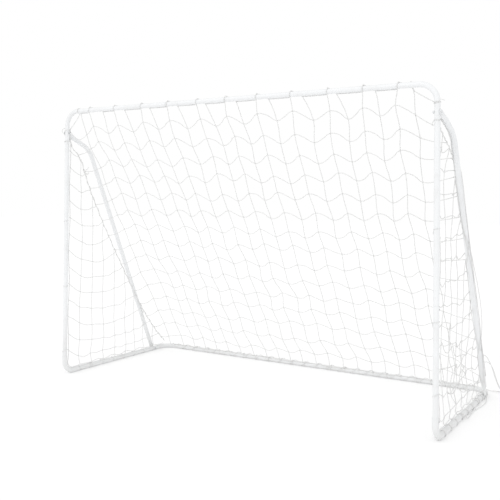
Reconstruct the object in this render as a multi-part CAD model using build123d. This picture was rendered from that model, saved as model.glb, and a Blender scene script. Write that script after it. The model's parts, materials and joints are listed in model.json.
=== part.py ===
from build123d import *
import math
import os

# Knock-down soccer goal: plug-together steel tubes, bolted side braces and a knotted net.
# Millimetres. X runs along the goal line, Y from the mouth to the back, Z up.
# The origin is on the ground, at the middle of the footprint.

# ---------------------------------------------------------------- driving sizes
GOAL_WIDTH = 2150.0        # across the outsides of the uprights
GOAL_HEIGHT = 1520.0       # ground to the top of the crossbar
BASE_DEPTH = 975.0         # upright centre to rear bar centre

TUBE_R = 12.7              # main tube
TUBE_WALL = 1.0
NECK_R = 11.4              # swaged end that plugs into a main tube
NECK_LENGTH = 50.0
NECK_TAPER = 5.0
SOCKET_R = 14.3            # lower corner tube, a size larger
SOCKET_WALL = 1.3
FIT_GAP = 0.3              # shoulder to rim

CORNER_BEND_R = 80.0       # upper and rear corners, at the tube's centre
LOWER_BEND_R = 62.0        # lower corners
UPRIGHT_JOINT_Z = 572.0    # rim where the upper corner tube plugs into the lower upright
SOCKET_TOP_Z = 105.0       # rim of the lower corner's upright socket
SOCKET_DEPTH = 27.0        # how far the upright goes into it
SOCKET_REACH = 386.0       # upright centre to the rim of the lower corner's rear socket
SIDE_INSERT = 50.0         # how far the side bar goes into it
BAR_JOINT_X = 355.0        # rims where the middle tubes plug in, crossbar and rear bar

BRACE_TOP_Z = 1385.0       # upper brace bolt
BRACE_BEND = (200.0, 1305.0)   # the bend's corner: behind the upright, above the ground
BRACE_BEND_R = 150.0
BRACE_FOOT = 833.0         # lower brace bolt, behind the upright
TAB_R = 13.0               # rounded tip of a flattened end, round the bolt
TAB_HALF_WIDTH = 19.0      # half its width where the flattening starts
TAB_THICKNESS = 2.4
TAB_LENGTH = 24.0          # bolt to the start of the flattening
FLATTENING = 45.0          # length over which the tube goes from round to flat
LOFT_LAP = 2.0             # how far the flattening runs into the flat
SLIT_HALF = 0.25           # half the slit left where the walls meet
SEAT_GAP = 0.05            # between bolted surfaces
TAB_CLEAR_Z = 1.5          # underside of the brace foot above the ground

BOLT_R = 3.0
BOLT_HOLE_R = 3.25
BOLT_HEAD_R = 6.5
BOLT_HEAD_H = 3.6
BOLT_HEAD_ROUND = 2.9
BOLT_END = 2.5             # thread showing past the nut
WASHER_R = 6.0
WASHER_H = 1.2
NUT_BORE_R = 3.05
NUT_ACROSS_FLATS = 10.0
NUT_H = 5.0
NUT_CROWN_FOOT = 3.5       # the crown cone stands this far outside the corners at the washer
NUT_CROWN_TOP = 0.5        # and this far inside them at the free face

BUTTON_R = 3.2
BUTTON_HOLE_R = 3.5
BUTTON_PROUD = 2.5         # how far a button stands out of the outer tube
BUTTON_SETBACK = 14.0      # rim to button centre
BUTTON_DOME = 1.2
COLLAR_R = 4.5             # flange that keeps the button in
COLLAR_H = 1.2
COLLAR_GAP = 0.35
SPRING_WIDTH = 8.0
SPRING_THICKNESS = 0.7
SPRING_LENGTH = 40.0
SPRING_HALF_SEAT = 5.0     # flat of the spring each side of the button
SPRING_NOSE = 1.2          # half the height of the folded end

NET_THICKNESS = 3.0
NET_SIDE_GAP = 3.6         # back panel's edge to the uprights
NET_SIDE_INSET = 6.3       # side panel's middle, inboard of the upright's centre
NET_CORNER_CUT = 96.0      # where the net leaves each upper corner open
NET_BACK_OFF = 26.0        # back panel's ends to the crossbar and rear bar centres
NET_FRONT_OFF = 16.0       # side panel's front edge to the upright's centre
NET_FLOOR_Z = 30.0         # lower edge of the side panels
NET_LOWER_CUT = 50.0       # where a side panel clears the lower corner's bend
NET_SEAM_Z = 1337.0        # where the side panel's slanted edge meets the upright
TIE_R = 1.1
TIE_HEIGHTS = (200.0, 505.0, 880.0, 1340.0, 1432.0)

DRILL_REACH = 30.0         # from a tube's axis to well outside it
TRIM_BLOCK = 200.0         # block that trims the brace foot

# ---------------------------------------------------------------- places worked out from them
POST_X = GOAL_WIDTH / 2 - TUBE_R
TOP_Z = GOAL_HEIGHT - TUBE_R
FLOOR_Z = SOCKET_R                     # centre height of the ground bars
FRONT_Y = -BASE_DEPTH / 2
REAR_Y = BASE_DEPTH / 2
SOCKET_RIM_Y = FRONT_Y + SOCKET_REACH
TAB_X = POST_X + TUBE_R + SEAT_GAP + TAB_THICKNESS / 2

UP, OUT, BACK = Vector(0, 0, 1), Vector(1, 0, 0), Vector(0, 1, 0)
LEFT_RIGHT = Plane.YZ


# ---------------------------------------------------------------- shared shapes
def frame_at(point, along, across=OUT):
    """A local frame on a tube: its Z runs along the tube, its X points across it."""
    return Plane(origin=point, x_dir=across, z_dir=along)


def bent_tube(points, bend_r, outer_r, wall):
    """A round tube along straight runs joined by one bend radius."""
    path = FilletPolyline(*points, radius=bend_r)
    ring = Circle(outer_r) - Circle(outer_r - wall)
    return sweep(Plane(origin=path @ 0, z_dir=path % 0) * ring, path=path)


def straight_tube(start, end, outer_r, wall):
    """A plain round tube between two points."""
    start, end = Vector(start), Vector(end)
    ring = Circle(outer_r) - Circle(outer_r - wall)
    return extrude(Plane(origin=start, z_dir=end - start) * ring, amount=(end - start).length)


def neck(mouth, away):
    """A swaged end: the neck goes the given way from its shoulder at the rim of the other tube."""
    shoulder = Vector(mouth) - Vector(away) * FIT_GAP
    tip, root = -NECK_LENGTH, NECK_TAPER
    profile = Polyline(
        (NECK_R - TUBE_WALL, tip), (NECK_R, tip), (NECK_R, 0), (TUBE_R, root),
        (TUBE_R - TUBE_WALL, root), (NECK_R - TUBE_WALL, 0), close=True,
    )
    turned = revolve(Plane.XZ * make_face(profile), axis=Axis.Z)
    across = BACK if abs(Vector(away).X) > 0.5 else OUT
    return frame_at(shoulder, -Vector(away), across) * turned


def radial_hole(centre, facing, radius):
    """A drill from the tube's axis out through one wall."""
    return extrude(Plane(origin=centre, z_dir=facing) * Circle(radius), amount=DRILL_REACH)


def cross_hole(centre, radius):
    """A drill right through a tube, along X."""
    start = Vector(centre) - OUT * DRILL_REACH
    return extrude(Plane(origin=start, z_dir=OUT) * Circle(radius), amount=2 * DRILL_REACH)


def both_sides(right_part):
    """The left-hand piece is the mirror image of the right-hand one."""
    return {"left": mirror(right_part, about=LEFT_RIGHT), "right": right_part}


# ---------------------------------------------------------------- plug-in joints
# Each joint: the button's place on the tube axis, the way the button faces, the way from the
# button into the plugged tube, the plugged tube's inner radius and the outer tube's radius.
def joint_places():
    """The ten plug-in joints, by name."""
    neck_in = NECK_R - TUBE_WALL
    tube_in = TUBE_R - TUBE_WALL
    places = {}
    for side, s in (("left", -1), ("right", 1)):
        x = s * POST_X
        outward = OUT * s
        bar_x = s * (BAR_JOINT_X + BUTTON_SETBACK)
        places[f"crossbar_{side}"] = (
            Vector(bar_x, FRONT_Y, TOP_Z), BACK, OUT * -s, neck_in, TUBE_R)
        places[f"upright_{side}"] = (
            Vector(x, FRONT_Y, UPRIGHT_JOINT_Z - BUTTON_SETBACK), outward, UP, neck_in, TUBE_R)
        places[f"corner_top_{side}"] = (
            Vector(x, FRONT_Y, SOCKET_TOP_Z - BUTTON_SETBACK), outward, UP, tube_in, SOCKET_R)
        places[f"corner_rear_{side}"] = (
            Vector(x, SOCKET_RIM_Y - BUTTON_SETBACK, FLOOR_Z), outward, BACK, tube_in, SOCKET_R)
        places[f"rear_bar_{side}"] = (
            Vector(bar_x, REAR_Y, FLOOR_Z), BACK, OUT * -s, neck_in, TUBE_R)
    return places


JOINTS = joint_places()


def drilled(tube, *names):
    """The tube with the button holes of the named joints."""
    for name in names:
        centre, facing = JOINTS[name][:2]
        tube -= radial_hole(centre, facing, BUTTON_HOLE_R)
    return tube


def collar_top(inner_r):
    """Highest place for the button's flange under the curved inner wall."""
    return math.sqrt(inner_r ** 2 - COLLAR_R ** 2) - COLLAR_GAP


def snap_button(centre, facing, along, inner_r, outer_r):
    """A domed push button with the flange that holds it in the plugged tube."""
    top = outer_r + BUTTON_PROUD
    under = collar_top(inner_r) - COLLAR_H
    pin = Pos(0, 0, under) * extrude(Circle(BUTTON_R), amount=top - under)
    pin = fillet(pin.edges().group_by(Axis.Z)[-1], BUTTON_DOME)
    flange = Pos(0, 0, under) * extrude(Circle(COLLAR_R), amount=COLLAR_H)
    return Plane(origin=centre, x_dir=along, z_dir=facing) * (pin + flange)


def button_spring(centre, facing, along, inner_r, outer_r):
    """A folded strip: one arm under the button, the other against the far wall."""
    near = collar_top(inner_r) - COLLAR_H - FIT_GAP
    far = math.sqrt((inner_r - FIT_GAP) ** 2 - (SPRING_WIDTH / 2) ** 2)
    seat, end, t = SPRING_HALF_SEAT, SPRING_LENGTH, SPRING_THICKNESS
    inside = SPRING_NOSE - t
    outline = Polyline(
        (-seat, near), (seat, near), (end, SPRING_NOSE), (end, -SPRING_NOSE),
        (seat, -far), (-seat, -far), (-seat, t - far), (seat, t - far),
        (end - t, -inside), (end - t, inside), (seat, near - t), (-seat, near - t), close=True,
    )
    strip = extrude(Plane.XZ * make_face(outline), amount=SPRING_WIDTH / 2, both=True)
    return Plane(origin=centre, x_dir=along, z_dir=facing) * strip


# ---------------------------------------------------------------- frame tubes (right-hand side)
def upper_corner():
    """Half the crossbar's side and the upper part of an upright, with the neck at its foot."""
    foot = Vector(POST_X, FRONT_Y, UPRIGHT_JOINT_Z + FIT_GAP + NECK_TAPER)
    run = [foot, Vector(POST_X, FRONT_Y, TOP_Z), Vector(BAR_JOINT_X, FRONT_Y, TOP_Z)]
    tube = bent_tube(run, CORNER_BEND_R, TUBE_R, TUBE_WALL)
    tube += neck((POST_X, FRONT_Y, UPRIGHT_JOINT_Z), -UP)
    tube -= cross_hole((POST_X, FRONT_Y, BRACE_TOP_Z), BOLT_HOLE_R)
    return drilled(tube, "crossbar_right", "upright_right")


def lower_upright():
    """The plain tube between the upper corner tube and the lower corner's socket."""
    tube = straight_tube(
        (POST_X, FRONT_Y, SOCKET_TOP_Z - SOCKET_DEPTH), (POST_X, FRONT_Y, UPRIGHT_JOINT_Z),
        TUBE_R, TUBE_WALL)
    return drilled(tube, "upright_right", "corner_top_right")


def lower_corner():
    """The larger tube that turns an upright into a side bar and takes both as sockets."""
    run = [
        Vector(POST_X, FRONT_Y, SOCKET_TOP_Z), Vector(POST_X, FRONT_Y, FLOOR_Z),
        Vector(POST_X, SOCKET_RIM_Y, FLOOR_Z),
    ]
    tube = bent_tube(run, LOWER_BEND_R, SOCKET_R, SOCKET_WALL)
    return drilled(tube, "corner_top_right", "corner_rear_right")


def rear_corner():
    """The side bar, the rear corner and the outer part of the rear bar."""
    run = [
        Vector(POST_X, SOCKET_RIM_Y - SIDE_INSERT, FLOOR_Z), Vector(POST_X, REAR_Y, FLOOR_Z),
        Vector(BAR_JOINT_X, REAR_Y, FLOOR_Z),
    ]
    tube = bent_tube(run, CORNER_BEND_R, TUBE_R, TUBE_WALL)
    tube -= cross_hole((POST_X, FRONT_Y + BRACE_FOOT, FLOOR_Z), BOLT_HOLE_R)
    return drilled(tube, "corner_rear_right", "rear_bar_right")


def middle_bar(y, z, left_joint, right_joint):
    """A straight bar with a neck at each end, shared by the crossbar and the rear bar."""
    half = BAR_JOINT_X - FIT_GAP - NECK_TAPER
    bar = straight_tube((-half, y, z), (half, y, z), TUBE_R, TUBE_WALL)
    bar += neck((BAR_JOINT_X, y, z), OUT) + neck((-BAR_JOINT_X, y, z), -OUT)
    return drilled(bar, left_joint, right_joint)


# ---------------------------------------------------------------- braces and their fasteners
def brace_points():
    """Upper bolt, the bend's corner and lower bolt, in the brace's own plane."""
    bend_y, bend_z = BRACE_BEND
    return (
        Vector(TAB_X, FRONT_Y, BRACE_TOP_Z),
        Vector(TAB_X, FRONT_Y + bend_y, bend_z),
        Vector(TAB_X, FRONT_Y + BRACE_FOOT, FLOOR_Z),
    )


def flattened_end(bolt, towards):
    """A tube end pressed flat round its bolt hole, opening to a round tube."""
    local = frame_at(bolt, towards - bolt)
    open_at = TAB_LENGTH + FLATTENING
    half = TAB_THICKNESS / 2
    widening = make_face(Polyline(
        (-TAB_R, 0), (TAB_R, 0), (TAB_HALF_WIDTH, TAB_LENGTH), (-TAB_HALF_WIDTH, TAB_LENGTH),
        close=True,
    ))
    tab = extrude(Plane.YZ * (Circle(TAB_R) + widening), amount=half, both=True)
    outer = loft([
        Pos(0, 0, TAB_LENGTH - LOFT_LAP) * Ellipse(half, TAB_HALF_WIDTH - LOFT_LAP / 2),
        Pos(0, 0, open_at) * Circle(TUBE_R),
    ])
    inner = loft([
        Pos(0, 0, TAB_LENGTH + LOFT_LAP) * Ellipse(SLIT_HALF, TAB_HALF_WIDTH - 2 * TUBE_WALL),
        Pos(0, 0, open_at) * Circle(TUBE_R - TUBE_WALL),
    ])
    return local * (tab + (outer - inner)), local.origin + local.z_dir * open_at


def brace():
    """The bent diagonal brace, both ends pressed flat."""
    top, bend, foot = brace_points()
    head, tube_start = flattened_end(top, bend)
    heel, tube_end = flattened_end(foot, bend)
    tube = bent_tube([tube_start, bend, tube_end], BRACE_BEND_R, TUBE_R, TUBE_WALL)
    piece = tube + head + heel
    for bolt in (top, foot):
        piece -= cross_hole(bolt, BOLT_HOLE_R)
    below = Box(TRIM_BLOCK, TRIM_BLOCK, TRIM_BLOCK, align=(Align.CENTER, Align.CENTER, Align.MAX))
    return piece - Pos(TAB_X, foot.Y, TAB_CLEAR_Z) * below


def bolt_places():
    """Right-hand bolt centres, on the outer face of the brace's flattened ends."""
    face = TAB_X + TAB_THICKNESS / 2 + SEAT_GAP
    top, _, foot = brace_points()
    return [Vector(face, top.Y, top.Z), Vector(face, foot.Y, foot.Z)]


def washer_face():
    """Where the washer meets the inner side of the tube."""
    return POST_X - TUBE_R - SEAT_GAP


def brace_bolt(place):
    """A round-headed bolt, its shank running inboard."""
    nut_end = washer_face() - WASHER_H - NUT_H - 2 * SEAT_GAP
    head = extrude(Plane(origin=place, z_dir=OUT) * Circle(BOLT_HEAD_R), amount=BOLT_HEAD_H)
    head = fillet(head.edges().group_by(Axis.X)[-1], BOLT_HEAD_ROUND)
    shank = extrude(
        Plane(origin=place, z_dir=-OUT) * Circle(BOLT_R), amount=place.X - nut_end + BOLT_END)
    return head + shank


def brace_washer(place):
    """A flat washer against the inner side of the tube."""
    centre = Vector(washer_face(), place.Y, place.Z)
    ring = Circle(WASHER_R) - Circle(BOLT_HOLE_R)
    return extrude(Plane(origin=centre, z_dir=-OUT) * ring, amount=WASHER_H)


def brace_nut(place):
    """A hexagon nut on the washer, its top corners taken off."""
    centre = Vector(washer_face() - WASHER_H - SEAT_GAP, place.Y, place.Z)
    corner_r = NUT_ACROSS_FLATS / math.sqrt(3)
    hexagon = extrude(RegularPolygon(corner_r, 6), amount=NUT_H)
    crown = Cone(corner_r + NUT_CROWN_FOOT, corner_r - NUT_CROWN_TOP, NUT_H,
                 align=(Align.CENTER, Align.CENTER, Align.MIN))
    nut = (hexagon & crown) - extrude(Circle(NUT_BORE_R), amount=NUT_H)
    return Plane(origin=centre, x_dir=UP, z_dir=-OUT) * nut


def fasteners(make):
    """The four copies of one fastener, as separate solids in one group."""
    right = [make(place) for place in bolt_places()]
    left = [mirror(piece, about=LEFT_RIGHT) for piece in right]
    return Compound(children=left + right)


# ---------------------------------------------------------------- net
def back_net():
    """The slanted back panel, a thin sheet with its upper corners cut off."""
    top = Vector(0, FRONT_Y, TOP_Z)
    slope = Vector(0, REAR_Y, FLOOR_Z) - top
    length = slope.length - 2 * NET_BACK_OFF
    half = POST_X - TUBE_R - NET_SIDE_GAP
    cut = NET_CORNER_CUT
    outline = Polyline(
        (-half, length), (half, length), (half, cut), (half - cut, 0),
        (cut - half, 0), (-half, cut), close=True,
    )
    start = top + slope.normalized() * NET_BACK_OFF
    sheet = Plane(origin=start, x_dir=OUT, z_dir=OUT.cross(slope.normalized()))
    return extrude(sheet * make_face(outline), amount=NET_THICKNESS / 2, both=True)


def side_net():
    """The three-cornered side panel between upright, seam and side bar."""
    x = POST_X - NET_SIDE_INSET
    front = FRONT_Y + NET_FRONT_OFF
    rear = REAR_Y - NET_BACK_OFF
    outline = Polyline(
        (front, NET_FLOOR_Z + NET_LOWER_CUT), (front + NET_LOWER_CUT, NET_FLOOR_Z),
        (rear, NET_FLOOR_Z), (front, NET_SEAM_Z), close=True,
    )
    sheet = Plane(origin=(x, 0, 0), x_dir=BACK, z_dir=OUT)
    return extrude(sheet * make_face(outline), amount=NET_THICKNESS / 2, both=True)


def net_ties():
    """Cord rings that hold the net to both uprights."""
    ring_r = TUBE_R + BUTTON_PROUD - TIE_R
    rings = [
        Pos(s * POST_X, FRONT_Y, z) * Torus(ring_r, TIE_R)
        for s in (-1, 1) for z in TIE_HEIGHTS
    ]
    return Compound(children=rings)


# ---------------------------------------------------------------- write every piece
def all_pieces():
    """Every node of the goal, by name."""
    pieces = {
        "crossbar_middle": middle_bar(FRONT_Y, TOP_Z, "crossbar_left", "crossbar_right"),
        "rear_bar_middle": middle_bar(REAR_Y, FLOOR_Z, "rear_bar_left", "rear_bar_right"),
        "brace_bolts": fasteners(brace_bolt),
        "brace_washers": fasteners(brace_washer),
        "brace_nuts": fasteners(brace_nut),
        "net_back": back_net(),
        "net_ties": net_ties(),
    }
    handed = {
        "upper_corner": upper_corner, "lower_upright": lower_upright,
        "lower_corner": lower_corner, "rear_corner": rear_corner,
        "brace": brace, "net": side_net,
    }
    for name, make in handed.items():
        for side, piece in both_sides(make()).items():
            pieces[f"{name}_{side}"] = piece
    for name, place in JOINTS.items():
        pieces[f"snap_button_{name}"] = snap_button(*place)
        pieces[f"button_spring_{name}"] = button_spring(*place)
    return pieces


os.makedirs("parts", exist_ok=True)
for node, shape in all_pieces().items():
    export_step(shape, f"parts/{node}.step")
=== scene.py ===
import json
import math
import random

import bmesh
import bpy
import numpy as np
from mathutils import Matrix, Vector, noise


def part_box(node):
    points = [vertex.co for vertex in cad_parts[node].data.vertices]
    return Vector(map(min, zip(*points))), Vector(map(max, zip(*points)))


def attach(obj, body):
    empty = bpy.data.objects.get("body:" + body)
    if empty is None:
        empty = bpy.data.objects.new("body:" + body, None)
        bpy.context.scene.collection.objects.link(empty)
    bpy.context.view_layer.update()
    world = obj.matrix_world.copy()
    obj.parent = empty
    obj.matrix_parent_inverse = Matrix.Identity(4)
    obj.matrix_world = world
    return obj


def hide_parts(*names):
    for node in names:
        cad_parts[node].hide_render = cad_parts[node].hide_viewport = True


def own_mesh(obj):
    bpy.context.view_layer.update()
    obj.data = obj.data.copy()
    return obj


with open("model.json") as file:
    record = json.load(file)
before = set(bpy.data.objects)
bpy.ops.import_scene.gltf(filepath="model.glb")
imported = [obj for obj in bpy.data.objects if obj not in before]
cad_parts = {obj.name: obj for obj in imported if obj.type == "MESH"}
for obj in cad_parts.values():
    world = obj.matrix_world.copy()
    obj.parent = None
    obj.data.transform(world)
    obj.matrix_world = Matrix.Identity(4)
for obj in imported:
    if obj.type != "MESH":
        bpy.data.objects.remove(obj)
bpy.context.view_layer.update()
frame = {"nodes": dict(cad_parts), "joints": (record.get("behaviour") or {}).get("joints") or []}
nodes = frame["nodes"]
BODY = "frame"


# ------------------------------------------------------------------ places on the frame
def tube_centre(node, axes):
    """The middle of a tube's box, along the axes asked for."""
    low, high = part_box(node)
    return [(low[a] + high[a]) / 2 for a in axes]


FRONT_Y, TOP_Z = tube_centre("crossbar_middle", (1, 2))
REAR_Y, FLOOR_Z = tube_centre("rear_bar_middle", (1, 2))
POST_X = tube_centre("lower_upright_right", (0,))[0]
BRACE_X = tube_centre("brace_right", (0,))[0]
TUBE_R = (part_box("crossbar_middle")[1].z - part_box("crossbar_middle")[0].z) / 2
SOCKET_R = (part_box("lower_corner_right")[1].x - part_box("lower_corner_right")[0].x) / 2
SOCKET_RIM_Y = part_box("lower_corner_right")[1].y

TWINE_R = 0.0018           # netting twine
CORD_R = 0.0015            # lacing and tie cord
FLOOR_CLEAR = 0.0008       # string on the floor stays this far above it
WRAP_CREEP = 0.00003       # along the bar, for each degree a string goes round it
NET_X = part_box("net_right")[0].x + 0.0015
MESH = 0.1115              # knot to knot, down the back of the net
ROWS = 15

CROSSBAR = Vector((0, FRONT_Y, TOP_Z))
SLOPE = Vector((0, REAR_Y, FLOOR_Z)) - CROSSBAR
SLOPE_LENGTH = SLOPE.length
DOWN_SLOPE = SLOPE.normalized()
OFF_SLOPE = Vector((1, 0, 0)).cross(DOWN_SLOPE)      # points up and back, away from the field

rng = random.Random(1520)


def smooth(t):
    """0 to 1 with soft ends."""
    t = min(1.0, max(0.0, t))
    return t * t * (3 - 2 * t)


def mix(a, b, t):
    return a + (b - a) * t


def wobble(place, size, seed):
    """A small smooth wander that depends only on the place."""
    return noise.noise(Vector(place) * 3.1 + Vector((seed, seed * 1.7, seed * 0.6))) * size


# ------------------------------------------------------------------ finishes
def new_material(name):
    """An empty node material with its Principled shader and output."""
    material = bpy.data.materials.new(name)
    material.use_nodes = True
    tree = material.node_tree
    shader = tree.nodes["Principled BSDF"]
    return material, tree, shader


def add(tree, kind, **inputs):
    """A node with some of its sockets set; underscores stand for spaces."""
    node = tree.nodes.new(kind)
    for key, value in inputs.items():
        node.inputs[key.replace("_", " ")].default_value = value
    return node


def ramp(tree, factor, low, high, a, b):
    """Maps a mask's low..high to the values a..b."""
    node = add(tree, "ShaderNodeMapRange", From_Min=low, From_Max=high, To_Min=a, To_Max=b)
    node.clamp = True
    tree.links.new(factor, node.inputs["Value"])
    return node.outputs["Result"]


def blend_colour(tree, factor, a, b):
    node = tree.nodes.new("ShaderNodeMix")
    node.data_type = "RGBA"
    for socket, value in ((node.inputs[6], a), (node.inputs[7], b)):
        if isinstance(value, tuple):
            socket.default_value = value
        else:
            tree.links.new(value, socket)
    tree.links.new(factor, node.inputs[0])
    return node.outputs[2]


def group_with(name, inputs, outputs):
    """A node group with named float inputs and outputs."""
    group = bpy.data.node_groups.new(name, "ShaderNodeTree")
    for label, default in inputs:
        socket = group.interface.new_socket(label, in_out="INPUT", socket_type="NodeSocketFloat")
        socket.default_value = default
    for label in outputs:
        group.interface.new_socket(label, in_out="OUTPUT", socket_type="NodeSocketFloat")
    entry = group.nodes.new("NodeGroupInput")
    leave = group.nodes.new("NodeGroupOutput")
    return group, entry, leave


def speckle_group():
    """Fine surface grain and soft handling marks, from the place on the piece."""
    group, entry, leave = group_with(
        "grain_and_marks", [("Grain Scale", 400.0), ("Mark Scale", 9.0)], ["Grain", "Marks"])
    links = group.links
    place = group.nodes.new("ShaderNodeTexCoord").outputs["Object"]
    grain = add(group, "ShaderNodeTexNoise", Detail=2.0, Roughness=0.5)
    marks = add(group, "ShaderNodeTexNoise", Detail=6.0, Roughness=0.68, Distortion=0.6)
    links.new(place, grain.inputs["Vector"])
    links.new(place, marks.inputs["Vector"])
    links.new(entry.outputs["Grain Scale"], grain.inputs["Scale"])
    links.new(entry.outputs["Mark Scale"], marks.inputs["Scale"])
    links.new(grain.outputs["Fac"], leave.inputs["Grain"])
    links.new(marks.outputs["Fac"], leave.inputs["Marks"])
    return group


def braid_group():
    """The crossing strands of a braided cord; the piece's UV runs in metres of cord."""
    group, entry, leave = group_with("braid", [("Pitch", 0.004)], ["Strands", "Fuzz"])
    links = group.links
    uv = group.nodes.new("ShaderNodeUVMap")
    uv.uv_map = "UVMap"
    split = group.nodes.new("ShaderNodeSeparateXYZ")
    links.new(uv.outputs["UV"], split.inputs[0])
    turns = group.nodes.new("ShaderNodeMath")
    turns.operation = "DIVIDE"
    links.new(split.outputs["X"], turns.inputs[0])
    links.new(entry.outputs["Pitch"], turns.inputs[1])
    waves = []
    for way in ("ADD", "SUBTRACT"):
        around = group.nodes.new("ShaderNodeMath")
        around.operation = way
        links.new(turns.outputs[0], around.inputs[0])
        links.new(split.outputs["Y"], around.inputs[1])
        angle = group.nodes.new("ShaderNodeMath")
        angle.operation = "MULTIPLY"
        angle.inputs[1].default_value = 2 * math.pi * 3
        links.new(around.outputs[0], angle.inputs[0])
        wave = group.nodes.new("ShaderNodeMath")
        wave.operation = "SINE"
        links.new(angle.outputs[0], wave.inputs[0])
        waves.append(wave.outputs[0])
    strands = group.nodes.new("ShaderNodeMath")
    strands.operation = "MULTIPLY"
    links.new(waves[0], strands.inputs[0])
    links.new(waves[1], strands.inputs[1])
    links.new(strands.outputs[0], leave.inputs["Strands"])
    place = group.nodes.new("ShaderNodeTexCoord").outputs["Object"]
    fuzz = add(group, "ShaderNodeTexNoise", Scale=60.0, Detail=3.0)
    links.new(place, fuzz.inputs["Vector"])
    links.new(fuzz.outputs["Fac"], leave.inputs["Fuzz"])
    return group


GRAIN = speckle_group()
BRAID = braid_group()


def placed(tree, group, **inputs):
    node = tree.nodes.new("ShaderNodeGroup")
    node.node_tree = group
    for key, value in inputs.items():
        node.inputs[key.replace("_", " ")].default_value = value
    return node


def bump(tree, shader, height, strength, distance):
    node = add(tree, "ShaderNodeBump", Strength=strength, Distance=distance)
    tree.links.new(height, node.inputs["Height"])
    tree.links.new(node.outputs["Normal"], shader.inputs["Normal"])


def powder_coat():
    """White powder coat: a slight orange peel, faint handling marks, and painted shade low down,
    mixed with dust, in patches.
    """
    material, tree, shader = new_material("white_powder_coat")
    shader.inputs["IOR"].default_value = 1.5
    surface = placed(tree, GRAIN, Grain_Scale=420.0, Mark_Scale=7.0)
    place = tree.nodes.new("ShaderNodeTexCoord").outputs["Object"]
    split = tree.nodes.new("ShaderNodeSeparateXYZ")
    tree.links.new(place, split.inputs[0])
    # Painted shade mixed with dust: the colour darkens towards the floor, below 0.35 m, in patches.
    height = ramp(tree, split.outputs["Z"], 0.0, 0.35, 1.0, 0.0)
    marks = ramp(tree, surface.outputs["Marks"], 0.52, 0.72, 0.0, 1.0)
    dust_and_painted_shade = tree.nodes.new("ShaderNodeMath")
    dust_and_painted_shade.operation = "MULTIPLY"
    tree.links.new(height, dust_and_painted_shade.inputs[0])
    tree.links.new(surface.outputs["Marks"], dust_and_painted_shade.inputs[1])
    clean = blend_colour(tree, marks, (0.83, 0.84, 0.85, 1), (0.78, 0.785, 0.79, 1))
    # The darker colour here is painted shade near the floor, mixed with dust.
    colour = blend_colour(tree, dust_and_painted_shade.outputs[0], clean, (0.70, 0.70, 0.69, 1))
    tree.links.new(colour, shader.inputs["Base Color"])
    tree.links.new(
        ramp(tree, surface.outputs["Marks"], 0.3, 0.7, 0.30, 0.42), shader.inputs["Roughness"])
    bump(tree, shader, surface.outputs["Grain"], 0.25, 0.0004)
    return material


def bright_metal(name, colour, dull, rough, stain=0.25):
    """Plated or tempered steel with fine grain and dull patches."""
    material, tree, shader = new_material(name)
    shader.inputs["Metallic"].default_value = 1.0
    surface = placed(tree, GRAIN, Grain_Scale=900.0, Mark_Scale=60.0)
    patches = ramp(tree, surface.outputs["Marks"], 0.45, 0.7, 0.0, 1.0)
    tree.links.new(blend_colour(tree, patches, colour, dull), shader.inputs["Base Color"])
    tree.links.new(
        ramp(tree, surface.outputs["Marks"], 0.3, 0.7, rough, rough + stain),
        shader.inputs["Roughness"])
    bump(tree, shader, surface.outputs["Grain"], 0.2, 0.0002)
    return material


def braided(name, colour, worn, pitch, depth):
    """Braided polyethylene twine or cord, with painted shade in the grooves between its strands."""
    material, tree, shader = new_material(name)
    shader.inputs["Sheen Weight"].default_value = 0.15
    shader.inputs["Specular IOR Level"].default_value = 0.35
    lay = placed(tree, BRAID, Pitch=pitch)
    # Painted shade: the colour darkens in the grooves between the strands.
    painted_groove_shade = ramp(tree, lay.outputs["Strands"], -1.0, 0.2, 0.35, 0.0)
    base = blend_colour(tree, lay.outputs["Fuzz"], colour, worn)
    shaded = blend_colour(
        tree, painted_groove_shade, base, tuple(c * 0.7 for c in worn[:3]) + (1,))
    tree.links.new(shaded, shader.inputs["Base Color"])
    fuzz = ramp(tree, lay.outputs["Fuzz"], 0.3, 0.7, 0.55, 0.75)
    tree.links.new(fuzz, shader.inputs["Roughness"])
    bump(tree, shader, lay.outputs["Strands"], 0.6, depth)
    return material


POWDER_COAT = powder_coat()
ZINC = bright_metal("bright_zinc", (0.78, 0.79, 0.80, 1), (0.62, 0.63, 0.64, 1), 0.34)
BUTTON_STEEL = bright_metal("button_steel", (0.62, 0.62, 0.63, 1), (0.45, 0.45, 0.45, 1), 0.22)
SPRING_STEEL = bright_metal("spring_steel", (0.30, 0.30, 0.32, 1), (0.18, 0.17, 0.17, 1), 0.35)
NET_TWINE = braided("net_twine", (0.86, 0.86, 0.86, 1), (0.79, 0.79, 0.78, 1), 0.006, 0.0004)
TIE_CORD = braided("tie_cord", (0.86, 0.86, 0.86, 1), (0.80, 0.80, 0.79, 1), 0.006, 0.0004)

for name, obj in nodes.items():
    if name.startswith("snap_button"):
        finish = BUTTON_STEEL
    elif name.startswith("button_spring"):
        finish = SPRING_STEEL
    elif name in ("brace_bolts", "brace_washers", "brace_nuts"):
        finish = ZINC
    elif name.startswith("net_"):
        finish = NET_TWINE
    else:
        finish = POWDER_COAT
    obj.data.materials.clear()
    obj.data.materials.append(finish)


# ------------------------------------------------------------------ twine
SIDES = 8


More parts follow.
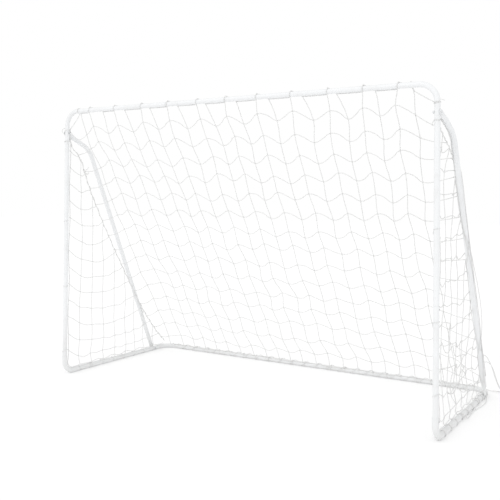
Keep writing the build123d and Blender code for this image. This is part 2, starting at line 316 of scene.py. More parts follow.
def twine(name, strings, radius, finish, steps=3):
    """Round twine along each list of points, as one mesh whose UV runs in metres of twine."""
    curve = bpy.data.curves.new(name + "_line", "CURVE")
    curve.dimensions = "3D"
    curve.resolution_u = steps
    curve.bevel_depth = radius
    curve.bevel_resolution = (SIDES - 4) // 2
    for points in strings:
        spline = curve.splines.new("BEZIER")
        spline.bezier_points.add(len(points) - 1)
        for spot, point in zip(spline.bezier_points, points):
            spot.co = point
            spot.handle_left_type = spot.handle_right_type = "AUTO"
    guide = bpy.data.objects.new(name + "_line", curve)
    bpy.context.scene.collection.objects.link(guide)
    bpy.context.view_layer.update()
    shown = guide.evaluated_get(bpy.context.evaluated_depsgraph_get())
    mesh = bpy.data.meshes.new_from_object(shown)
    bpy.data.objects.remove(guide)
    run_in_metres(mesh)
    close_ends(mesh)
    mesh.name = name
    mesh.materials.clear()
    mesh.materials.append(finish)
    piece = bpy.data.objects.new(name, mesh)
    bpy.context.scene.collection.objects.link(piece)
    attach(piece, BODY)
    return piece


def run_in_metres(mesh):
    """Rewrites the UV's first number as the distance along the twine."""
    spots = np.empty(len(mesh.vertices) * 3)
    mesh.vertices.foreach_get("co", spots)
    middles = spots.reshape(-1, SIDES, 3).mean(axis=1)
    along = np.concatenate([[0], np.cumsum(np.linalg.norm(np.diff(middles, axis=0), axis=1))])
    corners = np.empty(len(mesh.loops), dtype=np.int64)
    mesh.loops.foreach_get("vertex_index", corners)
    layer = mesh.uv_layers[0].data
    flat = np.empty(len(mesh.loops) * 2)
    layer.foreach_get("uv", flat)
    flat[0::2] = along[corners // SIDES]
    layer.foreach_set("uv", flat)


def close_ends(mesh):
    """Closes the open ends of the twine and shades it smooth."""
    bm = bmesh.new()
    bm.from_mesh(mesh)
    open_edges = [e for e in bm.edges if e.is_boundary]
    bmesh.ops.holes_fill(bm, edges=open_edges, sides=SIDES)
    bmesh.ops.recalc_face_normals(bm, faces=bm.faces)
    for face in bm.faces:
        face.smooth = len(face.verts) == 4
    bm.to_mesh(mesh)
    bm.free()


def knot(centre, along, size=1.0, turns=1.6):
    """The turns of a netting knot: a short coil round the string it sits on."""
    along = Vector(along).normalized()
    across = along.orthogonal().normalized()
    other = along.cross(across)
    spin = rng.uniform(0, 2 * math.pi)
    count = 8
    coil = []
    for k in range(count):
        angle = spin + 2 * math.pi * turns * k / (count - 1)
        lean = (k / (count - 1) - 0.5) * 2.2 * TWINE_R * size
        coil.append(
            centre + along * lean
            + (across * math.cos(angle) + other * math.sin(angle)) * TWINE_R * 1.3 * size)
    return coil


def round_bar(bar, axis, angles, radius):
    """Points round a straight bar. Angle 0 is straight up; angles grow towards the back."""
    side = Vector((0, 1, 0)) if axis == "X" else Vector((1, 0, 0))
    return [
        bar + (Vector((0, 0, 1)) * math.cos(math.radians(a)) + side * math.sin(math.radians(a)))
        * radius for a in angles]


def off_floor(points):
    """Lifts string that would be squeezed into the floor under a bar."""
    return [Vector((p.x, p.y, max(p.z, TWINE_R + FLOOR_CLEAR))) for p in points]


# ------------------------------------------------------------------ back of the net
# Where each pair of strings loops over the crossbar, and where the pair's second string leaves it.
LOOP_X = (-0.890, -0.708, -0.520, -0.346, -0.160, 0.011, 0.189, 0.373, 0.561, 0.732, 0.891)
LEAVE = (0.092, 0.067, 0.052, 0.061, 0.049, 0.060, 0.064, 0.059, 0.043, 0.056, 0.065)
FIRST_LEAVE_X = -0.961     # the single string beside the left corner
CORNER_TIE_Z = {-1: 1.402, 1: 1.425}
NARROWING = 0.038          # how far the slack back panel draws in from its sides
# The seam between back and side panels, as (distance behind the upright, height). The left one
# hangs free; the right one is laced along its brace.
SEAM = {
    -1: ((0.012, 1.325), (0.109, 1.242), (0.135, 1.172), (0.207, 1.031), (0.308, 0.861),
         (0.430, 0.675), (0.581, 0.458), (0.674, 0.330), (0.747, 0.238), (0.860, 0.120),
         (0.946, 0.046)),
    1: ((0.020, 1.352), (0.090, 1.300), (0.150, 1.270), (0.215, 1.232), (0.262, 1.182),
        (0.340, 1.027), (0.450, 0.809), (0.600, 0.512), (0.740, 0.234), (0.810, 0.095),
        (0.940, 0.046)),
}
SEAM_TOP = {-1: 1.340, 1: 1.365}
BRACE_TOP, BRACE_BEND, BRACE_FOOT = (0.0, 1.385), (0.200, 1.305), (0.833, FLOOR_Z)
BRACE_EASE = 0.0576        # from the bend's corner to where each straight part starts


def seam_place(side, behind, height):
    """A point on a seam; the right one comes out to the inner face of its brace."""
    x = NET_X if side < 0 else mix(NET_X, BRACE_X - TUBE_R - TWINE_R, smooth(behind / 0.24))
    return Vector((side * x, FRONT_Y + behind, height))


def seam_point(side, share):
    """A point on a side's seam, at a share of its length from the upright's tie down."""
    line = [(0.012, CORNER_TIE_Z[side] - 0.004)] + list(SEAM[side])
    runs = [math.dist(a, b) for a, b in zip(line, line[1:])]
    left = share * sum(runs)
    for (y0, z0), (y1, z1), run in zip(line, line[1:], runs):
        if left <= run:
            t = left / run
            return seam_place(side, mix(y0, y1, t), mix(z0, z1, t))
        left -= run
    return seam_place(side, *line[-1])


def seam_line(side):
    return ((0.0, SEAM_TOP[side]),) + SEAM[side] + ((0.975, 0.03),)


def seam_height(side, behind):
    """Height of the seam at a distance behind the uprights."""
    line = seam_line(side)
    for (y0, z0), (y1, z1) in zip(line, line[1:]):
        if behind <= y1:
            return mix(z0, z1, (behind - y0) / (y1 - y0))
    return line[-1][1]


def seam_distance(side, height):
    """Distance behind the uprights where the seam has a height."""
    line = seam_line(side)
    for (y0, z0), (y1, z1) in zip(line, line[1:]):
        if height >= z1:
            return max(0.0, mix(y0, y1, (z0 - height) / (z0 - z1)))
    return line[-1][0]


def columns():
    """(crossbar x, knot x, is it the raised one of its pair) for each string down the back."""
    found = [(FIRST_LEAVE_X, FIRST_LEAVE_X - 0.022, False)]
    for k, (loop, leave) in enumerate(zip(LOOP_X, LEAVE)):
        drift = -0.018
        found.append((loop, loop + drift, True))
        after = LOOP_X[k + 1] if k + 1 < len(LOOP_X) else loop + 0.155
        found.append((loop + leave, (loop + after) / 2 + drift, False))
    return found


COLUMNS = columns()


def back_knot(column, row):
    """Where a string and a row of the back panel are knotted together."""
    _, x, raised = COLUMNS[column]
    depth = row / (ROWS - 1)
    drop = 0.0 if raised else mix(0.047, 0.024, smooth(depth))
    along = 0.094 + MESH * row + drop + 0.012 * smooth(depth)
    if column > 0:
        x *= 1.0 - NARROWING * smooth(depth / 0.4)
    x += wobble((x, row * 0.4, 1.0), 0.022, 3.0) - 0.012 * depth
    along += wobble((x, row * 0.4, 2.0), 0.014, 9.0)
    sag = 0.022 * math.sin(math.pi * min(1.0, along / SLOPE_LENGTH))
    off = wobble((x, row * 0.5, 3.0), 0.012, 5.0) - sag
    spot = CROSSBAR + Vector((x, 0, 0)) + DOWN_SLOPE * along + OFF_SLOPE * off
    return spot


def over_crossbar(loop_x, leave_x):
    """The string's way up the front of the crossbar, over it and down to the second string."""
    radius = TUBE_R + TWINE_R
    way = (
        (-158, 0.0), (-110, 0.0), (-60, 0.02), (-15, 0.06),
        (30, 0.25), (80, 0.55), (125, 0.85), (160, 1.0))
    return [
        round_bar(Vector((mix(loop_x, leave_x, t), FRONT_Y, TOP_Z)), "X", (angle,), radius)[0]
        for angle, t in way]


def under_crossbar(start_x, end_x):
    """The net's top edge between two loops, drawn up against the underside of the crossbar."""
    return [
        round_bar(Vector((mix(start_x, end_x, t), FRONT_Y, TOP_Z)), "X", (angle,),
                  TUBE_R + TWINE_R * out)[0]
        for t, angle, out in (
            (0.0, 160, 1.0), (0.2, 165, 1.2), (0.5, 168, 1.3), (0.8, 172, 1.1), (0.95, 186, 1.0),
            (1.0, 202, 1.0))]


def to_rear_bar(column):
    """A string's last stretch: from its lowest knot on to the rear bar, and half round it."""
    last = back_knot(column, ROWS - 1)
    bar = Vector((last.x + wobble((last.x, 0, 0), 0.01, 4.0), REAR_Y, FLOOR_Z))
    return off_floor(round_bar(
        bar, "X", (-60, -20, 20, 65, 110, 150, 190, 230, 265), TUBE_R + TWINE_R))


def string_down(column):
    """One string from its first knot to the rear bar, with a little play between the knots."""
    points = [back_knot(column, row) for row in range(ROWS)]
    return points + to_rear_bar(column)


def back_strings():
    """All strings down the back: each loop over the crossbar makes one string of two."""
    strings = [over_crossbar(FIRST_LEAVE_X - 0.012, FIRST_LEAVE_X) + string_down(0)]
    leave_x = FIRST_LEAVE_X
    for k, (loop, leave) in enumerate(zip(LOOP_X, LEAVE)):
        raised, low = 1 + 2 * k, 2 + 2 * k
        up = list(reversed(string_down(raised)))
        strings.append(up + over_crossbar(loop, loop + leave) + string_down(low))
        strings.append(under_crossbar(leave_x, loop))
        leave_x = loop + leave
    return strings


def back_row(row):
    """One row across the back, slack between its knots, from seam to seam."""
    late = 0.5 if row else 0.0
    ends = {
        -1: seam_point(-1, (row + late) / ROWS),
        1: seam_point(1, (row + 0.55 + 0.45 * smooth((5 - row) / 4)) / ROWS)}
    points = [ends[-1]]
    knots = [back_knot(c, row) for c in range(len(COLUMNS))]
    slack_down = Vector((0, 0.25, -1)).normalized()
    for c, spot in enumerate(knots):
        before = points[-1]
        middle = before.lerp(spot, 0.5)
        if c == 0:
            sag = 0.040 if row == 0 else 0.008
        elif COLUMNS[c][2]:
            sag = 0.005 + rng.uniform(-0.003, 0.006)
        else:
            sag = -0.007 + rng.uniform(-0.004, 0.004) + 0.006 * row / ROWS
        middle += slack_down * sag + OFF_SLOPE * rng.uniform(-0.005, 0.005)
        points += [middle, spot]
    points += [points[-1].lerp(ends[1], 0.5) + slack_down * 0.006, ends[1]]
    return points


def corner_string(side):
    """The string that cuts across an upper corner, from the crossbar to the upright's tie."""
    start_x = {-1: FIRST_LEAVE_X - 0.012, 1: 0.949}[side]
    bar = Vector((start_x, FRONT_Y, TOP_Z))
    start = round_bar(bar, "X", (-30, 20, 75, 130), TUBE_R + TWINE_R)
    end = Vector((side * (POST_X - TUBE_R * 0.6), FRONT_Y + TUBE_R * 0.9, CORNER_TIE_Z[side]))
    middle = start[-1].lerp(end, 0.5) - Vector((0, 0, 0.006))
    return start + [middle, end]


def back_border():
    """The panel's lower edge, laid along the rear bar."""
    lift = math.radians(-40)
    points = []
    count = 48
    for k in range(count + 1):
        x = mix(-0.985, 0.985, k / count)
        out = TUBE_R + TWINE_R * (1.2 + 0.6 * math.sin(k * 1.9))
        swing = lift + 0.22 * math.sin(k * 0.83)
        points.append(Vector((x, REAR_Y + math.sin(swing) * out, FLOOR_Z + math.cos(swing) * out)))
    return points


back_lines = back_strings()
back_lines += [back_row(row) for row in range(ROWS)]
back_lines += [corner_string(-1), corner_string(1), back_border()]
back_net = twine("net_back_twine", back_lines, TWINE_R, NET_TWINE)
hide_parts("net_back")

back_knots = [
    knot(back_knot(c, row), DOWN_SLOPE)
    for c in range(len(COLUMNS)) for row in range(ROWS)]
back_knots += [
    knot(Vector((x + 0.003, FRONT_Y - 0.002, TOP_Z + TUBE_R + TWINE_R)), (1, 0.2, 0), size=1.5)
    for x in LOOP_X]


# ------------------------------------------------------------------ side panels
PANEL = {
    -1: {"loose": 0.015, "bulge": 0.014, "first": 0.110, "step": 0.100, "low": 0.105,
         "drop": 0.034, "slack": 0.010, "sag": 0.060},
    1: {"loose": 0.028, "bulge": 0.016, "first": 0.095, "step": 0.098, "low": 0.100,
        "drop": 0.010, "slack": 0.026, "sag": 0.030},
}
ROW_STEP = 0.0955
POST_BACK = 0.016          # the panel's front edge, behind the upright's centre


def side_place(side, behind, height, seed=0.0):
    """A point of a side panel, with the panel's own looseness."""
    ways = PANEL[side]
    here = (behind, height, side * 2.0 + seed)
    inside = smooth(behind / 0.15) * smooth((seam_height(side, behind) - height) / 0.12)
    y = FRONT_Y + behind + wobble(here, ways["loose"] * 2, 7.0) * inside
    z = height + wobble(here, ways["loose"] * 2, 13.0) * inside
    across = behind / max(behind, seam_distance(side, height))
    z -= ways["sag"] * math.sin(math.pi * across ** 1.3) * smooth(height / 0.3) * smooth(
        (behind / max(across, 0.01)) / 0.7)
    give = inside * smooth(height / 0.15)
    x = NET_X - abs(wobble(here, ways["bulge"] * 2, 21.0)) * give
    return Vector((side * x, y, z))


def side_columns(side):
    """Distances behind the upright of a side panel's upright strings."""
    ways = PANEL[side]
    return [ways["first"] + ways["step"] * k for k in range(8)]


def side_rows(side):
    """Heights of a side panel's rows."""
    return [PANEL[side]["low"] + ROW_STEP * k for k in range(13)]


def to_side_bar(side, behind):
    """Where an upright string goes round the side bar."""
    bar = Vector((side * POST_X, FRONT_Y + behind, FLOOR_Z))
    radius = (SOCKET_R if FRONT_Y + behind < SOCKET_RIM_Y else TUBE_R) + TWINE_R
    return off_floor([
        bar + Vector((-side * math.sin(math.radians(a)), 0, math.cos(math.radians(a)))) * radius
        + Vector((0, WRAP_CREEP * (50 - a), 0))
        for a in (50, 5, -40, -85, -130, -170, -210, -250, -285)])


def side_lines(side):
    """The strings and rows of a side panel."""
    lines = []
    slack = PANEL[side]["slack"]
    for behind in side_columns(side):
        top = seam_height(side, behind)
        start = seam_place(side, behind, top)
        points = [start]
        for height in reversed([h for h in side_rows(side) if h < top - 0.02]):
            points.append(side_place(side, behind, height))
        if top > 0.07:
            lines.append(points + to_side_bar(side, behind))
    for height in side_rows(side):
        reach = seam_distance(side, height)
        if reach < 0.06:
            continue
        tied = min(height + PANEL[side]["drop"], seam_line(side)[0][1] - 0.01)
        points = [Vector((side * NET_X, FRONT_Y + POST_BACK, tied))]
        stops = [b for b in side_columns(side) if b < reach - 0.02]
        for behind in stops + [reach]:
            if behind == reach:
                spot = seam_place(side, reach, height)
            else:
                spot = side_place(side, behind, height)
            middle = points[-1].lerp(spot, 0.5)
            middle.z -= rng.uniform(-0.3, 1.0) * slack
            middle.x -= side * rng.uniform(-0.1, 1.0) * slack * 0.6
            points += [middle, spot]
        lines.append(points)
    return lines


def side_knots(side):
    """A knot at each crossing of a side panel."""
    found = []
    for behind in side_columns(side):
        for height in side_rows(side):
            if height < seam_height(side, behind) - 0.02:
                found.append(knot(side_place(side, behind, height), (0, 0.1, 1)))
    return found


def folded_net():
    """Spare mesh of the right panel, folded over inside it low down, from knot to knot."""
    columns, rows = side_columns(1), side_rows(1)
    lines = []
    for k, (c0, r0, c1, r1) in enumerate((
            (2, 4, 3, 0), (4, 3, 5, 0), (1, 3, 5, 2), (2, 1, 6, 0), (3, 2, 5, 1))):
        start, end = (side_place(1, columns[c], rows[r]) for c, r in ((c0, r0), (c1, r1)))
        stops = [start.lerp(end, j / 7) for j in range(8)]
        for j, spot in enumerate(stops[1:-1]):
            spot.x -= 0.012 + 0.006 * math.sin(1.7 * j + k)
            spot.y += 0.020 * math.sin(2.3 * j + k)
            spot.z += 0.020 * math.sin(1.9 * j + 1.3 * k)
        lines.append(stops)
    return lines


FRONT_BEND_R = 0.062       # the lower corner's bend, to the tube's middle
BORDER_GAP = 0.0010        # between the border string and the inside of the bend
BORDER_Z = 0.033           # the border's height along the side bar
BORDER_END = 0.93          # how far behind the upright the border stops


def panel_border(side):
    """The panel's edge string: down the upright, round inside the bend, along the side bar."""
    points = []
    reach = FRONT_BEND_R - SOCKET_R - TWINE_R - BORDER_GAP
    centre_z = FLOOR_Z + FRONT_BEND_R
    count = 30
    for k in range(count, -1, -1):
        height = mix(centre_z + 0.012, CORNER_TIE_Z[side], k / count)
        slack = 0.004 * (1 + math.sin(height * 17 + side))
        points.append(Vector((side * NET_X, FRONT_Y + POST_BACK + slack, height)))
    for angle in (15, 35, 55, 75):
        turn = math.radians(angle)
        points.append(Vector((
            side * NET_X, FRONT_Y + FRONT_BEND_R - reach * math.cos(turn),
            centre_z - reach * math.sin(turn))))
    count = 34
    for k in range(count + 1):
        behind = mix(FRONT_BEND_R + 0.010, BORDER_END, k / count)
        lift = 0.006 * (1 + math.sin(k * 1.15 + side)) * math.sin(math.pi * k / count)
        points.append(Vector((side * NET_X, FRONT_Y + behind, BORDER_Z + lift)))
    return points


for side, word in ((-1, "left"), (1, "right")):
    lines = side_lines(side) + [panel_border(side)]
    if side > 0:
        lines += folded_net()
    panel = twine(f"net_{word}_twine", lines, TWINE_R, NET_TWINE)
    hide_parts(f"net_{word}")

knots = twine(
    "net_knots", back_knots + side_knots(-1) + side_knots(1), TWINE_R, NET_TWINE,
    steps=1)


# ------------------------------------------------------------------ lacing and ties
def brace_centre(behind):
    """The right brace's centre line at a distance behind the upright, and its direction."""
    top, corner, foot = (Vector((BRACE_X, FRONT_Y + y, z))
                         for y, z in (BRACE_TOP, BRACE_BEND, BRACE_FOOT))
    first, second = (corner - top).normalized(), (foot - corner).normalized()
    ease_in, ease_out = corner - first * BRACE_EASE, corner + second * BRACE_EASE
    y = FRONT_Y + behind
    if y <= ease_in.y:
        return top + first * ((y - top.y) / first.y), first
    if y >= ease_out.y:
        return corner + second * ((y - corner.y) / second.y), second
    t = (y - ease_in.y) / (ease_out.y - ease_in.y)
    spot = ease_in.lerp(corner, t).lerp(corner.lerp(ease_out, t), t)
    return spot, first.lerp(second, t).normalized()


def round_brace(stations):
    """A string on the right brace through (behind, angle, clearance) stations. Angle 0 is the
    outside of the goal, 90 the top, 180 the inside and 270 the underside."""
    points = []
    for (y0, a0, c0), (y1, a1, c1) in zip(stations, stations[1:]):
        count = max(1, round(abs(a1 - a0) / 32), round((y1 - y0) / 0.06))
        for k in range(count):
            t = k / count
            points.append(brace_spot(mix(y0, y1, t), mix(a0, a1, t), mix(c0, c1, t)))
    return points + [brace_spot(*stations[-1])]


def brace_spot(behind, angle, clearance):
    centre, along = brace_centre(behind)
    above = Vector((1, 0, 0)).cross(along)
    a = math.radians(angle)
    return centre + (Vector((1, 0, 0)) * math.cos(a) + above * math.sin(a)) * (
        TUBE_R + TWINE_R + clearance)


def coil_along(path, radius, pitch):
    """A lacing cord that winds round a path."""
    points = []
    turned = 0.0
    for a, b in zip(path, path[1:]):
        run = (b - a).length
        along = (b - a).normalized()
        across = along.cross(Vector((1, 0, 0)) if abs(along.x) < 0.9 else Vector((0, 0, 1)))
        across.normalize()
        other = along.cross(across)
        count = max(1, round(run / pitch * 5))
        for k in range(count):
            angle = turned + 2 * math.pi * (run * k / count) / pitch
            points.append(
                a.lerp(b, k / count)
                + (across * math.cos(angle) + other * math.sin(angle)) * radius)
        turned += 2 * math.pi * run / pitch
    return points


def left_seam():
    """The edge string of the left seam, and the string that joins the two panels along it."""
    count = 26
    path = [seam_point(-1, mix(0.02, 1.0, k / count)) for k in range(count + 1)]
    return [path, coil_along(path, 0.0035, 0.075)]


def right_seam():
    """The right seam: edge strings bunched under the brace's bend, then carried down along it."""
    free = [seam_point(1, mix(0.0, 0.21, k / 6)) for k in range(7)]
    return [
        free + round_brace([
            (0.262, 188, 0), (0.355, 200, 0.001), (0.410, 262, 0), (0.455, 352, 0),
            (0.500, 372, 0.006), (0.560, 378, 0.014), (0.620, 372, 0.014), (0.668, 352, 0.003),
            (0.700, 268, 0), (0.735, 182, 0), (0.790, 176, 0.001)]),
        coil_along(free[1:], 0.003, 0.034),
        round_brace([
            (0.030, 250, 0), (0.085, 240, 0.001), (0.140, 228, 0), (0.200, 216, 0),
            (0.300, 212, 0.001), (0.400, 236, 0.001), (0.460, 300, 0), (0.520, 350, 0.001),
            (0.620, 362, 0.002), (0.700, 340, 0.001), (0.790, 300, 0.001)]),
        round_brace([
            (0.036, 226, 0.001), (0.090, 214, 0), (0.140, 246, 0.002), (0.195, 236, 0.002),
            (0.235, 180, 0), (0.262, 90, 0), (0.290, 10, 0), (0.360, 2, 0), (0.480, -6, 0.001),
            (0.580, 6, 0.002), (0.640, 0, 0.001), (0.700, -10, 0.001), (0.775, 4, 0.001)]),
        round_brace([
            (0.300, 186, 0.003), (0.355, 150, 0.001), (0.395, 90, 0), (0.430, -8, 0),
            (0.470, -96, 0), (0.505, -182, 0), (0.600, -170, 0.003), (0.690, -96, 0),
            (0.716, 0, 0), (0.740, 88, 0), (0.766, 180, 0), (0.792, 268, 0)]),
    ]


def slack_loops():
    """Spare edge string: a loop behind the right rear corner and one along the right side bar."""
    rear = [
        (1.060, 0.262, 0.235), (1.070, 0.380, 0.215), (1.080, 0.450, 0.160), (1.090, 0.480, 0.105),
        (1.102, 0.496, 0.058), (1.116, 0.506, 0.024), (1.128, 0.514, 0.009), (1.136, 0.524, 0.005),
        (1.126, 0.532, 0.005), (1.100, 0.528, 0.005), (1.070, 0.518, 0.005), (1.040, 0.508, 0.012)]
    second = [
        (1.064, 0.330, 0.190), (1.076, 0.430, 0.170), (1.088, 0.480, 0.125), (1.098, 0.498, 0.078),
        (1.112, 0.510, 0.034), (1.128, 0.518, 0.012), (1.138, 0.522, 0.005), (1.120, 0.520, 0.005),
        (1.080, 0.512, 0.008)]
    bar = [
        (1.060, 0.345, 0.034), (1.080, 0.338, 0.022), (1.092, 0.300, 0.006), (1.098, 0.220, 0.005),
        (1.090, 0.140, 0.005), (1.082, 0.080, 0.005), (1.085, 0.010, 0.005), (1.090, -0.040, 0.005),
        (1.088, -0.070, 0.008), (1.080, -0.082, 0.022), (1.062, -0.086, 0.030)]
    return [[Vector(p) for p in loop] for loop in (rear, second, bar)]


def seam_curls():
    """Cut ends left curling where the left seam was knotted."""
    knotted = seam_point(-1, 0.155)
    steps = (
        ((0.004, 0.010, -0.010), (0.010, 0.022, -0.004), (0.014, 0.030, 0.008)),
        ((0.006, -0.006, -0.012), (0.012, 0.004, -0.028), (0.016, 0.018, -0.030)),
        ((0.004, 0.012, -0.024), (0.006, 0.030, -0.036), (0.010, 0.038, -0.022)))
    return [[knotted] + [knotted + Vector(step) for step in end] for end in steps]


def rear_lacing():
    """A cord wound round the rear bar and the net's lower edge."""
    points = []
    turns = 24
    steps = 6
    for k in range(turns * steps + 1):
        share = k / (turns * steps)
        x = mix(-0.965, 0.965, share)
        angle = 2 * math.pi * k / steps
        radius = TUBE_R + TWINE_R * 2 + CORD_R * 0.6
        z = FLOOR_Z + math.cos(angle) * radius
        points.append(Vector((x + 0.004 * math.sin(k), REAR_Y + math.sin(angle) * radius,
                              max(z, CORD_R + FLOOR_CLEAR))))
    return points


def post_tie(side, height, turns, slant=0.0, tail=None):
    """A cord wound round an upright and the net's edge, then knotted; its end hangs."""
    points = []
    steps = 8
    for k in range(int(turns * steps) + 1):
        angle = 2 * math.pi * k / steps + 2.2
        out = TUBE_R + CORD_R
        rise = height + (k / steps - turns / 2) * CORD_R * 2.6 + slant * math.cos(angle)
        points.append(Vector((
            side * POST_X + math.cos(angle) * out, FRONT_Y + math.sin(angle) * out, rise)))
    if tail:
        points += [points[-1] + Vector(step) for step in tail]
    return points


def bar_tie(side, behind, turns, tail=None):
    """A cord wound round a side bar."""
    points = []
    steps = 8
    bar_r = (SOCKET_R if FRONT_Y + behind < SOCKET_RIM_Y else TUBE_R) + CORD_R
    for k in range(int(turns * steps) + 1):
        angle = 2 * math.pi * k / steps
        y = FRONT_Y + behind + (k / steps - turns / 2) * CORD_R * 2.4
        z = FLOOR_Z + math.cos(angle) * bar_r
        points.append(Vector((
            side * (POST_X + math.sin(angle) * bar_r), y, max(z, CORD_R + FLOOR_CLEAR))))
    if tail:
        points += [points[-1] + Vector(step) for step in tail]
    return points


edge_strings = left_seam() + seam_curls() + slack_loops()
twine("net_edge_strings", edge_strings, TWINE_R, NET_TWINE)
twine("net_lacing", right_seam() + [rear_lacing()], CORD_R, TIE_CORD)

ties = [
    post_tie(-1, 1.400, 1.1, 0.003, [(-0.010, -0.010, 0.012), (-0.022, -0.014, 0.010),
                                     (-0.030, -0.014, -0.004), (-0.018, -0.012, -0.016),
                                     (-0.004, -0.010, -0.010)]),
    post_tie(-1, 1.337, 1.6, 0.002, [(0.012, -0.006, -0.012), (0.016, -0.004, -0.034)]),
    post_tie(-1, 0.879, 1.1, 0.002, [(0.006, -0.008, -0.010), (0.008, -0.010, -0.026)]),
    post_tie(-1, 0.506, 1.1, -0.002, [(0.006, -0.008, -0.010), (0.004, -0.010, -0.022)]),
    post_tie(-1, 0.135, 1.1, 0.008),
    post_tie(1, 1.425, 1.6, 0.002, [(0.010, -0.006, 0.006), (0.026, -0.006, 0.002)]),
    post_tie(1, 1.352, 1.1, -0.002, [(-0.012, -0.006, -0.010), (-0.016, -0.004, -0.026)]),
    post_tie(1, 0.895, 1.1, 0.002, [(-0.006, -0.008, -0.010), (-0.008, -0.010, -0.024)]),
    post_tie(1, 0.505, 1.1, 0.002, [(-0.006, -0.008, -0.010), (-0.006, -0.010, -0.024)]),
    post_tie(1, 0.200, 1.1, 0.006),
    bar_tie(-1, 0.200, 1.1),
    bar_tie(1, 0.402, 2.0),
    bar_tie(1, 0.720, 1.1),
    bar_tie(1, 0.880, 2.0),
]
tie_piece = twine("post_ties", ties, CORD_R, TIE_CORD)
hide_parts("net_ties")


# ------------------------------------------------------------------ button springs
STRIP_THICKNESS = 0.0007
STRIP_SEAT = 0.010         # flat part under the button, and against the far wall
STRIP_NOSE = 0.0012        # half the height of the fold, to its outer face
NOSE_ROUND = 0.0009
EDGE_ROUND = 0.00015


def fold_height(node, middle, inward, to_fold, length):
    """How far the fold stands from the middle of the spring, towards the button."""
    shape = bpy.data.objects[node]
    tip = [v for v in (shape.matrix_world @ p.co for p in shape.data.vertices)
           if (v - middle).dot(to_fold) > length / 2 - STRIP_THICKNESS * 1.5]
    return -sum((v - middle).dot(inward) for v in tip) / len(tip)


def strip_outline(length, half_height, fold):
    """Corners of the folded strip seen from its edge: along it, and towards the button."""
    t = STRIP_THICKNESS
    inside = STRIP_NOSE - t
    return [
        (0, half_height), (STRIP_SEAT, half_height),
        (length, fold + STRIP_NOSE), (length, fold - STRIP_NOSE),
        (STRIP_SEAT, -half_height), (0, -half_height),
        (0, t - half_height), (STRIP_SEAT, t - half_height),
        (length - t, fold - inside), (length - t, fold + inside),
        (STRIP_SEAT, half_height - t), (0, half_height - t)]


def bent_spring(joint):
    """The folded strip behind a snap button."""
    word = joint["name"].removeprefix("press_")
    node = f"button_spring_{word}"
    low, high = (Vector(corner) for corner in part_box(node))
    button_low, button_high = (Vector(corner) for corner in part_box(f"snap_button_{word}"))
    middle, size = (low + high) / 2, high - low
    inward = Vector(joint["axis"])
    along = max(range(3), key=lambda k: size[k])
    to_fold = Vector((0, 0, 0))
    to_fold[along] = 1 if middle[along] > (button_low + button_high)[along] / 2 else -1
    across = inward.cross(to_fold)
    height, width = abs(inward.dot(size)), abs(across.dot(size))
    start = middle - to_fold * size[along] / 2
    fold = fold_height(node, middle, inward, to_fold, size[along])

    bm = bmesh.new()
    side = bm.faces.new([
        bm.verts.new(start + to_fold * u - inward * w - across * width / 2)
        for u, w in strip_outline(size[along], height / 2, fold)])
    swept = bmesh.ops.extrude_face_region(bm, geom=[side], use_keep_orig=True)["geom"]
    bmesh.ops.translate(
        bm, vec=across * width, verts=[g for g in swept if isinstance(g, bmesh.types.BMVert)])
    bmesh.ops.recalc_face_normals(bm, faces=bm.faces)

    def long_edges(at_nose):
        return [e for e in bm.edges
                if abs((e.verts[0].co - e.verts[1].co).dot(across)) > width / 2
                and ((e.verts[0].co - start).dot(to_fold) > size[along] - EDGE_ROUND) == at_nose]

    for at_nose, offset, segments in ((False, EDGE_ROUND, 2), (True, NOSE_ROUND, 5)):
        bmesh.ops.bevel(bm, geom=long_edges(at_nose), offset=offset, segments=segments,
                        affect="EDGES", profile=0.5, material=-1)
    mesh = bpy.data.meshes.new(f"bent_spring_{word}")
    bm.to_mesh(mesh)
    bm.free()
    mesh.materials.append(SPRING_STEEL)
    piece = bpy.data.objects.new(f"bent_spring_{word}", mesh)
    bpy.context.scene.collection.objects.link(piece)
    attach(piece, BODY)
    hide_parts(node)
    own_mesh(piece)


for joint in frame["joints"]:
    bent_spring(joint)


# ------------------------------------------------------------------ floor, light and camera
FRONT_LIGHT, BACK_LIGHT = 1.12, 0.66     # the room is brighter on the camera's side
KEY_POWER = 0.42
FLOOR_GLOW = 0.20


def studio_floor():
    """A plain pale floor that runs out of sight."""
    bm = bmesh.new()
    bmesh.ops.create_grid(bm, x_segments=2, y_segments=2, size=30.0)
    mesh = bpy.data.meshes.new("studio_floor")
    bm.to_mesh(mesh)
    bm.free()
    material, tree, shader = new_material("pale_floor")
    surface = placed(tree, GRAIN, Grain_Scale=30.0, Mark_Scale=0.5)
    shade = blend_colour(
        tree, surface.outputs["Marks"], (0.79, 0.79, 0.79, 1), (0.81, 0.81, 0.81, 1))
    tree.links.new(shade, shader.inputs["Base Color"])
    shader.inputs["Roughness"].default_value = 0.9
    shader.inputs["Specular IOR Level"].default_value = 0.1
    shader.inputs["Emission Color"].default_value = (1, 1, 1, 1)
    shader.inputs["Emission Strength"].default_value = FLOOR_GLOW
    mesh.materials.append(material)
    floor = bpy.data.objects.new("studio_floor", mesh)
    bpy.context.scene.collection.objects.link(floor)


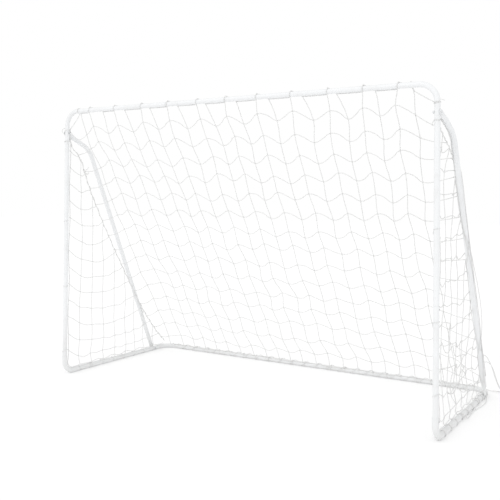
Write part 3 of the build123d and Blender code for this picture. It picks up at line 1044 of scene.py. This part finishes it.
def wide_lamp(name, place, target, power, spread):
    """A far, broad lamp that lights the whole floor evenly."""
    lamp = bpy.data.lights.new(name, "SUN")
    lamp.energy = power
    lamp.angle = math.radians(spread)
    obj = bpy.data.objects.new(name, lamp)
    obj.location = place
    aim = Vector(target) - Vector(place)
    obj.rotation_euler = aim.to_track_quat("-Z", "Y").to_euler()
    bpy.context.scene.collection.objects.link(obj)


def studio_light():
    """A white room, brighter on the camera's side, and one broad lamp over the field."""
    world = bpy.data.worlds.new("white_room")
    world.use_nodes = True
    tree = world.node_tree
    walls = tree.nodes["Background"]
    walls.inputs["Color"].default_value = (1, 1, 1, 1)
    towards = tree.nodes.new("ShaderNodeVectorMath")
    towards.operation = "DOT_PRODUCT"
    towards.inputs[1].default_value = Vector((0.50, -0.75, 0.45)).normalized()
    tree.links.new(tree.nodes.new("ShaderNodeTexCoord").outputs["Generated"], towards.inputs[0])
    tree.links.new(ramp(tree, towards.outputs["Value"], -1.0, 1.0, BACK_LIGHT, FRONT_LIGHT),
                   walls.inputs["Strength"])
    seen = add(tree, "ShaderNodeBackground", Color=(1, 1, 1, 1), Strength=1.0)
    rays = tree.nodes.new("ShaderNodeLightPath")
    either = tree.nodes.new("ShaderNodeMixShader")
    tree.links.new(rays.outputs["Is Camera Ray"], either.inputs["Fac"])
    tree.links.new(walls.outputs[0], either.inputs[1])
    tree.links.new(seen.outputs[0], either.inputs[2])
    tree.links.new(either.outputs[0], tree.nodes["World Output"].inputs["Surface"])
    bpy.context.scene.world = world
    bpy.context.scene.view_settings.view_transform = "Standard"
    wide_lamp("key", (-1.8, -3.4, 3.6), (0, 0, 0.3), KEY_POWER, 50.0)


def goal_camera():
    camera = bpy.data.cameras.new("goal_camera")
    camera.sensor_width = 36.0
    camera.lens = 52.64
    camera.shift_x = 0.064
    camera.shift_y = -0.115
    camera.clip_end = 200.0
    obj = bpy.data.objects.new("goal_camera", camera)
    turn = Matrix.Rotation(math.radians(32.656), 4, "Z")
    tilt = Matrix.Rotation(math.radians(90.626), 4, "X")
    roll = Matrix.Rotation(math.radians(0.535), 4, "Z")
    obj.matrix_world = Matrix.Translation((1.9425, -3.5608, 1.0053)) @ turn @ tilt @ roll
    bpy.context.scene.collection.objects.link(obj)
    bpy.context.scene.camera = obj


studio_floor()
studio_light()
goal_camera()
